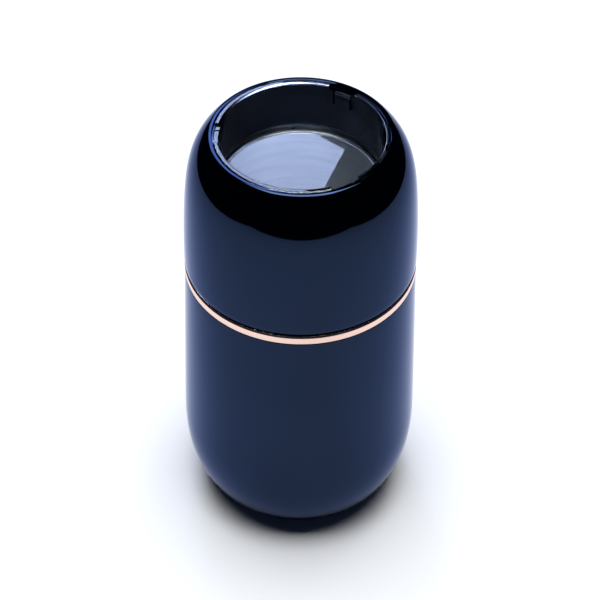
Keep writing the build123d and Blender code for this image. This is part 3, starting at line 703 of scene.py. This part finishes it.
tilt = Matrix.Rotation(math.radians(-9), 4, "X")
up = Matrix.Rotation(math.radians(-13), 4, "Y") @ tilt
down = Matrix.Rotation(math.pi, 4, "Z") @ Matrix.Rotation(math.radians(3), 4, "Y") @ tilt
hub = [(0, 0, 0), (8.5, 0, 0.25), (8.5, BLADE_T, 0.25), (0, BLADE_T, 0)]
blade = keep("cutter", spin(soften([(r, z + BLADE_Z, q) for r, z, q in hub]), 96), 30)
for turn in (up, down):
    half_wing = keep("half_wing", wing(turn), 30)
    carve(half_wing, rod(6.5, 100, 140))
    cutter = bmesh.new()
    cutter.from_mesh(half_wing.data)
    half_mesh = half_wing.data
    bpy.data.objects.remove(half_wing)
    bpy.data.meshes.remove(half_mesh)
    carve(blade, cutter, "UNION")
carve(blade, rod(3.02, 110, 130))
dress(blade, blade_steel, "rotor", "blade_steel", "blade")

# %% Turn the cap nut
NUT_Z = BLADE_Z + BLADE_T + 0.02
hexagon = [polar(5.0, 60 * k) for k in range(6)]
nut = keep("cap_nut", flat(hexagon, NUT_Z, NUT_Z + 3.6), 25)
chamfer = soften([(0, NUT_Z - 1, 0), (4.55, NUT_Z - 1, 0), (4.55, NUT_Z, 0), (5.1, NUT_Z + 0.4, 0),
                  (5.1, NUT_Z + 3.2, 0), (4.4, NUT_Z + 3.6, 0), (4.4, NUT_Z + 5, 0), (0, NUT_Z + 5, 0)])
carve(nut, spin(chamfer, 96), "INTERSECT", 25)
dome = soften([(0, NUT_Z + 1, 0), (4.2, NUT_Z + 1, 0), (4.2, NUT_Z + 5.6, 2.6), (0, NUT_Z + 5.6, 0)])
carve(nut, spin(dome, 96), "UNION", 25)
carve(nut, rod(3.02, NUT_Z - 1, NUT_Z + 4.2), "DIFFERENCE", 25)
dress(nut, shaft_steel, "rotor", "blade_steel", "blade_nut")

# %% [markdown]
# ## Screws
# Five sets of screws are made here, and the two on the switch keep their CAD shape. A real thread
# is one ridge that climbs round the shank. Here the shank is a grid of points round and up, and
# each point's radius depends on how far the ridge has turned at that height. The head gets a low
# dome and a cross recess with sloping walls, cut by two crossed wedges.

# %% Make one screw
def thread_height(z, angle, pitch):
    """How far up the ridge a point is, 0 at the root and 1 at the crest."""
    phase = (z / pitch - angle / math.tau) % 1.0
    return max(0.0, 1 - abs(phase - 0.5) * 3.2)


def screw(name, head_r, head_h, shank_r, length):
    """A pan head screw, head below the origin and shank pointing up."""
    made = bmesh.new()
    pitch, around, rows = shank_r * 0.62, 28, max(24, int(length / shank_r / 0.62 * 7))
    core = shank_r * 0.76
    grid = []
    for j in range(rows + 1):
        z = length * j / rows
        point = min(1.0, (length - z) / (shank_r * 1.6) + 0.12)
        ring = []
        for k in range(around):
            angle = math.tau * k / around
            r = (core + (shank_r - core) * thread_height(z, angle, pitch)) * point
            ring.append(made.verts.new((r * math.cos(angle) * MM, r * math.sin(angle) * MM, z * MM)))
        grid.append(ring)
    for low, high in zip(grid, grid[1:]):
        for k in range(around):
            made.faces.new((low[k], low[(k + 1) % around], high[(k + 1) % around], high[k]))
    made.faces.new(grid[-1])
    made.faces.new(list(reversed(grid[0])))
    shank = keep(name + "_shank", made, 45)
    head = soften([
        (0, -head_h, 0), (head_r * 0.8, -head_h, head_h * 0.4), (head_r, -head_h * 0.45, head_h * 0.3),
        (head_r, 0, head_h * 0.1), (0, 0.02, 0),
    ])
    arm = head_r * 0.62
    piece = keep(name, spin(head, 48), 40)
    for turn in (0, 90):
        wedge = slab((-arm, arm), (-head_r * 0.14, head_r * 0.14), (-head_h - 1, -head_h * 0.35), turn)
        for vert in wedge.verts:
            if vert.co.z > -head_h * MM:
                vert.co.x *= 0.62
                vert.co.y *= 0.62
        carve(piece, wedge)
    return piece, shank


def place(name, pair, places, flip=False):
    """One object with a copy of the pair at each place. Flip turns the screws head up."""
    turn = Matrix.Rotation(math.pi, 4, "X") if flip else Matrix.Identity(4)
    made = bmesh.new()
    for spot in places:
        move = Matrix.Translation(Vector(spot) * MM) @ turn
        for part in pair:
            copy = part.data.copy()
            copy.transform(move)
            made.from_mesh(copy)
            bpy.data.meshes.remove(copy)
    return keep(name, made, 40)


def discard(pair):
    """Removes the pattern pieces once they are copied."""
    for part in pair:
        mesh = part.data
        bpy.data.objects.remove(part)
        bpy.data.meshes.remove(mesh)


def screw_set(node, body, size, places, flip=False):
    """A set of screws that stands for one CAD node."""
    pair = screw(node + "_one", *size)
    dress(place(node + "_cut", pair, places, flip), zinc_plate, body, "screw_steel", node)
    discard(pair)


print("screw pattern ready")

# %% Fit the screw sets
def circle_of(radius, angles, z):
    """Places on a circle about Z."""
    return [(*polar(radius, angle), z) for angle in angles]


QUARTERS, THIRDS = (0, 90, 180, 270), (30, 150, 270)
screw_set("cover_screws", "base", (2.7, 0.95, 1.2, 11), circle_of(26.5, QUARTERS, 3.0))
screw_set("liner_screws", "lid", (2.3, 1.4, 1.1, 10.5), circle_of(37.6, THIRDS, 162.48))
screw_set("collar_screws", "base", (2.6, 1.6, 1.1, 11.5), circle_of(38.4, THIRDS, 106.98))
screw_set("bowl_screws", "base", (2.8, 1.5, 1.5, 10.5), circle_of(14, THIRDS, 113.72), True)
screw_set("motor_screws", "base", (3.2, 2.0, 1.6, 72), [(-26.3, 0, 29.98), (26.3, 0, 29.98)])

# %% [markdown]
# ## Feet and gland
# Four soft feet are pressed into pockets in the base cover. Each has a shallow ring that grips
# the table like a suction cup. The gland is a rubber bush in the back wall: the mains lead of the
# real grinder passes through it.

# %% Spin the feet
foot_section = soften([
    (0, 0.35, 0), (2.6, 0.35, 0.3), (3.0, 0, 0.25), (4.1, 0, 0.35), (4.5, 0.5, 0.3),
    (4.5, 2.98, 0.3), (0, 2.98, 0),
])
foot = keep("foot_one", spin(foot_section, 64), 40)
feet = place("rubber_feet_turned", (foot,), circle_of(22.5, (45, 135, 225, 315), 0))
discard((foot,))
dress(feet, rubber_black, "base", "rubber", "rubber_feet")

# %% Spin the gland and turn it to the back
gland_section = soften([
    (3.3, 0, 0.2), (6.0, 0, 0.3), (6.0, 1.48, 0.2), (4.8, 1.48, 0), (4.8, 4.0, 0), (6.8, 4.0, 0.1),
    (6.8, 5.1, 0.5), (6.1, 5.8, 0.4), (4.6, 5.8, 0.2), (4.3, 5.5, 0.2), (4.0, 5.8, 0.2), (3.3, 5.8, 0.4),
])
gland = keep("lead_gland", spin(gland_section, 72), 40)
gland.data.transform(Matrix.Translation((0, 0.040, 0.024)) @ Matrix.Rotation(-math.pi / 2, 4, "X"))
dress(gland, rubber_black, "base", "rubber", "cord_gland")

# %% [markdown]
# ## Windings
# A field coil is a hank of enamelled wire laid in neat layers round a pole, and it is tied before
# it is pushed on. Each turn here is a closed curve with its own wire thickness. The armature is
# wound by machine: its end turns run from slot to slot in a fat, crossing ring. The crossing
# wires are ridges on a spun ring, in two directions.

# %% Wind the field coils
WIRE = 0.78


def wire_loop(points, thickness):
    """Mesh of one closed wire through the points, in millimetres."""
    curve = bpy.data.curves.new("turn", "CURVE")
    curve.dimensions = "3D"
    curve.bevel_depth = thickness / 2 * MM
    curve.bevel_resolution = 1
    line = curve.splines.new("POLY")
    line.points.add(len(points) - 1)
    for spot, point in zip(line.points, points):
        spot.co = (*(Vector(point) * MM), 1)
    line.use_cyclic_u = True
    holder = bpy.data.objects.new("turn", curve)
    bpy.context.scene.collection.objects.link(holder)
    bpy.context.view_layer.update()
    mesh = bpy.data.meshes.new_from_object(holder.evaluated_get(bpy.context.evaluated_depsgraph_get()))
    bpy.data.objects.remove(holder)
    bpy.data.curves.remove(curve)
    return mesh


def racetrack(half_x, half_z, corner, y, middle_z):
    """A rounded rectangle in the XZ plane."""
    points = []
    for sx, sz, start in ((1, 1, 0), (-1, 1, 90), (-1, -1, 180), (1, -1, 270)):
        for k in range(7):
            angle = math.radians(start + 15 * k)
            points.append((sx * (half_x - corner) + corner * math.cos(angle), y,
                           middle_z + sz * (half_z - corner) + corner * math.sin(angle)))
    return points


coils = bmesh.new()
for side in (1, -1):
    for layer in range(5):
        for turn in range(3):
            y = side * (18.25 + turn * WIRE + 0.05 * (layer % 2))
            grow = layer * WIRE
            loop = wire_loop(racetrack(8.0 + grow, 12.0 + grow, 1.6 + grow * 0.6, y, 70.0), WIRE * 0.96)
            coils.from_mesh(loop)
            bpy.data.meshes.remove(loop)
dress(keep("field_coil_turns", coils, 60), copper_wire, "base", "copper_winding", "field_coils")

# %% Wind the armature's end turns
def end_turns(low, sign):
    """A spun ring whose surface carries crossing wires, at one end of the rotor."""
    made = bmesh.new()
    rings = []
    outline = [(5.2, 0), (12.0, 0), (13.0, 1.6), (12.6, 3.4), (11.2, 6.0), (8.4, 7.0), (6.0, 6.7), (5.2, 5.6)]
    steps = []
    for (r0, z0), (r1, z1) in zip(outline, outline[1:] + outline[:1]):
        steps += [(r0 + (r1 - r0) * k / 6, z0 + (z1 - z0) * k / 6) for k in range(6)]
    for j, (r, z) in enumerate(steps):
        ring = []
        for k in range(240):
            angle = math.tau * k / 240
            ridge = 0.22 * max(abs(math.sin(36 * angle + j * 0.55)), abs(math.sin(36 * angle - j * 0.55)))
            reach = (r + (ridge if 0.5 < z else 0)) * MM
            place_on = (reach * math.cos(angle), reach * math.sin(angle), (low + sign * z) * MM)
            ring.append(made.verts.new(place_on))
        rings.append(ring)
    for first, second in zip(rings, rings[1:] + rings[:1]):
        for k in range(240):
            made.faces.new((first[k], first[(k + 1) % 240], second[(k + 1) % 240], second[k]))
    return made


windings = bmesh.new()
for made in (end_turns(81.02, 1), end_turns(58.98, -1)):
    part = bpy.data.meshes.new("part")
    made.to_mesh(part)
    made.free()
    windings.from_mesh(part)
    bpy.data.meshes.remove(part)
for k in range(12):
    x, y = polar(11.2, 30 * (k + 0.5))
    bar = rod(1.85, 58.5, 81.5, x, y, 20)
    part = bpy.data.meshes.new("part")
    bar.to_mesh(part)
    bar.free()
    windings.from_mesh(part)
    bpy.data.meshes.remove(part)
dress(keep("armature_turns", windings, 60), copper_wire, "rotor", "copper_winding", "armature_windings")

# %% [markdown]
# ## Rod spring
# A small compression spring lifts the press rod, and the lid with it. Its end turns are closed, so
# that they stand flat. It is one curve with a round bevel: the coil climbs slowly in its first
# and last turn and quickly between them. In the real grinder its foot stays on the collar while
# its top is pressed down, so it is squashed as the lid is pushed. Here it is made at rest.

# %% Coil the spring
FOOT, HEAD, WIRE_R, COIL_R, TURNS = 144.02, 152.26, 0.19, 1.55, 8
coil = bpy.data.curves.new("coil", "CURVE")
coil.dimensions = "3D"
coil.bevel_depth = WIRE_R * MM
coil.bevel_resolution = 3
coil.use_fill_caps = True
line = coil.splines.new("POLY")
steps = TURNS * 28
line.points.add(steps)
for k, spot in enumerate(line.points):
    x, y = polar(COIL_R, 360 * k / 28)
    climb = FOOT + WIRE_R + 0.4 * min(k / 28, 1) + 0.4 * max(0, k / 28 - TURNS + 1)
    climb += (HEAD - FOOT - 2 * WIRE_R - 0.8) * max(0.0, min(1.0, (k / 28 - 1) / (TURNS - 2)))
    spot.co = (x * MM, (y + 37.3) * MM, climb * MM, 1)
holder = bpy.data.objects.new("coil", coil)
bpy.context.scene.collection.objects.link(holder)
bpy.context.view_layer.update()
coil_mesh = bpy.data.meshes.new_from_object(holder.evaluated_get(bpy.context.evaluated_depsgraph_get()))
bpy.data.objects.remove(holder)
coil_made = bmesh.new()
coil_made.from_mesh(coil_mesh)
bpy.data.meshes.remove(coil_mesh)
rod_spring = dress(keep("rod_spring", coil_made, 60), shaft_steel, "base", "screw_steel", "push_rod_spring")
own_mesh(rod_spring)

# %% [markdown]
# ## Finishes for the CAD nodes
# The other pieces keep their CAD shape and get their finish here.

# %% Dress the CAD nodes
by_slot = {
    "shell_plastic": navy_gloss, "clear_plastic": clear_plastic, "black_plastic": black_satin,
    "silicone": silicone_grey, "rubber": rubber_black, "screw_steel": zinc_plate, "rose_gold": rose_gold,
    "stainless": bowl_steel, "blade_steel": blade_steel, "shaft_steel": shaft_steel,
    "lamination_steel": iron_stack, "copper_winding": copper_wire, "copper_bar": copper_bar,
    "bearing_bronze": bronze, "brass": brass_strip, "carbon": carbon, "frame_plastic": nylon_black,
    "fan_plastic": nylon_natural, "switch_plastic": phenolic, "button_plastic": red_button,
    "wire_cover": blue_cover, "capacitor_case": yellow_case, "fuse_white": fuse_white,
}
for part in frame["record"]["subparts"]:
    mesh = nodes[part["node"]].data
    mesh.materials.clear()
    mesh.materials.append(by_slot[part["material_slot"]])
print("dressed", len(nodes), "CAD nodes")

# %% [markdown]
# ## Mirror image in the window
# The clear floor of the cup lies deep in a dark sleeve, which shades it. A studio would take a
# second exposure without the lid to light it. Blender can leave the lid out of one lamp's
# shadows instead: light linking tells the back softbox that the dome and the cup don't block it.
# Its mirror image then lies on the floor of the window, with one crisp corner. The same lamp
# would flood the chamber below, so it is hidden from light that passes through the clear plastic,
# and the pieces there don't catch it.

# %% Let the back softbox through
see_through = bpy.data.collections.new("not_in_the_way")
for piece in (lid_shell, window_cup):
    see_through.objects.link(piece)
for member in see_through.collection_objects:
    member.light_linking.link_state = "EXCLUDE"
back_softbox.light_linking.blocker_collection = see_through
back_softbox.visible_transmission = False
in_the_chamber = bpy.data.collections.new("in_the_chamber")
for piece in (bowl, blade, nut, lip, liner, nodes["bowl_gasket"]):
    in_the_chamber.objects.link(piece)
for member in in_the_chamber.collection_objects:
    member.light_linking.link_state = "EXCLUDE"
back_softbox.light_linking.receiver_collection = in_the_chamber
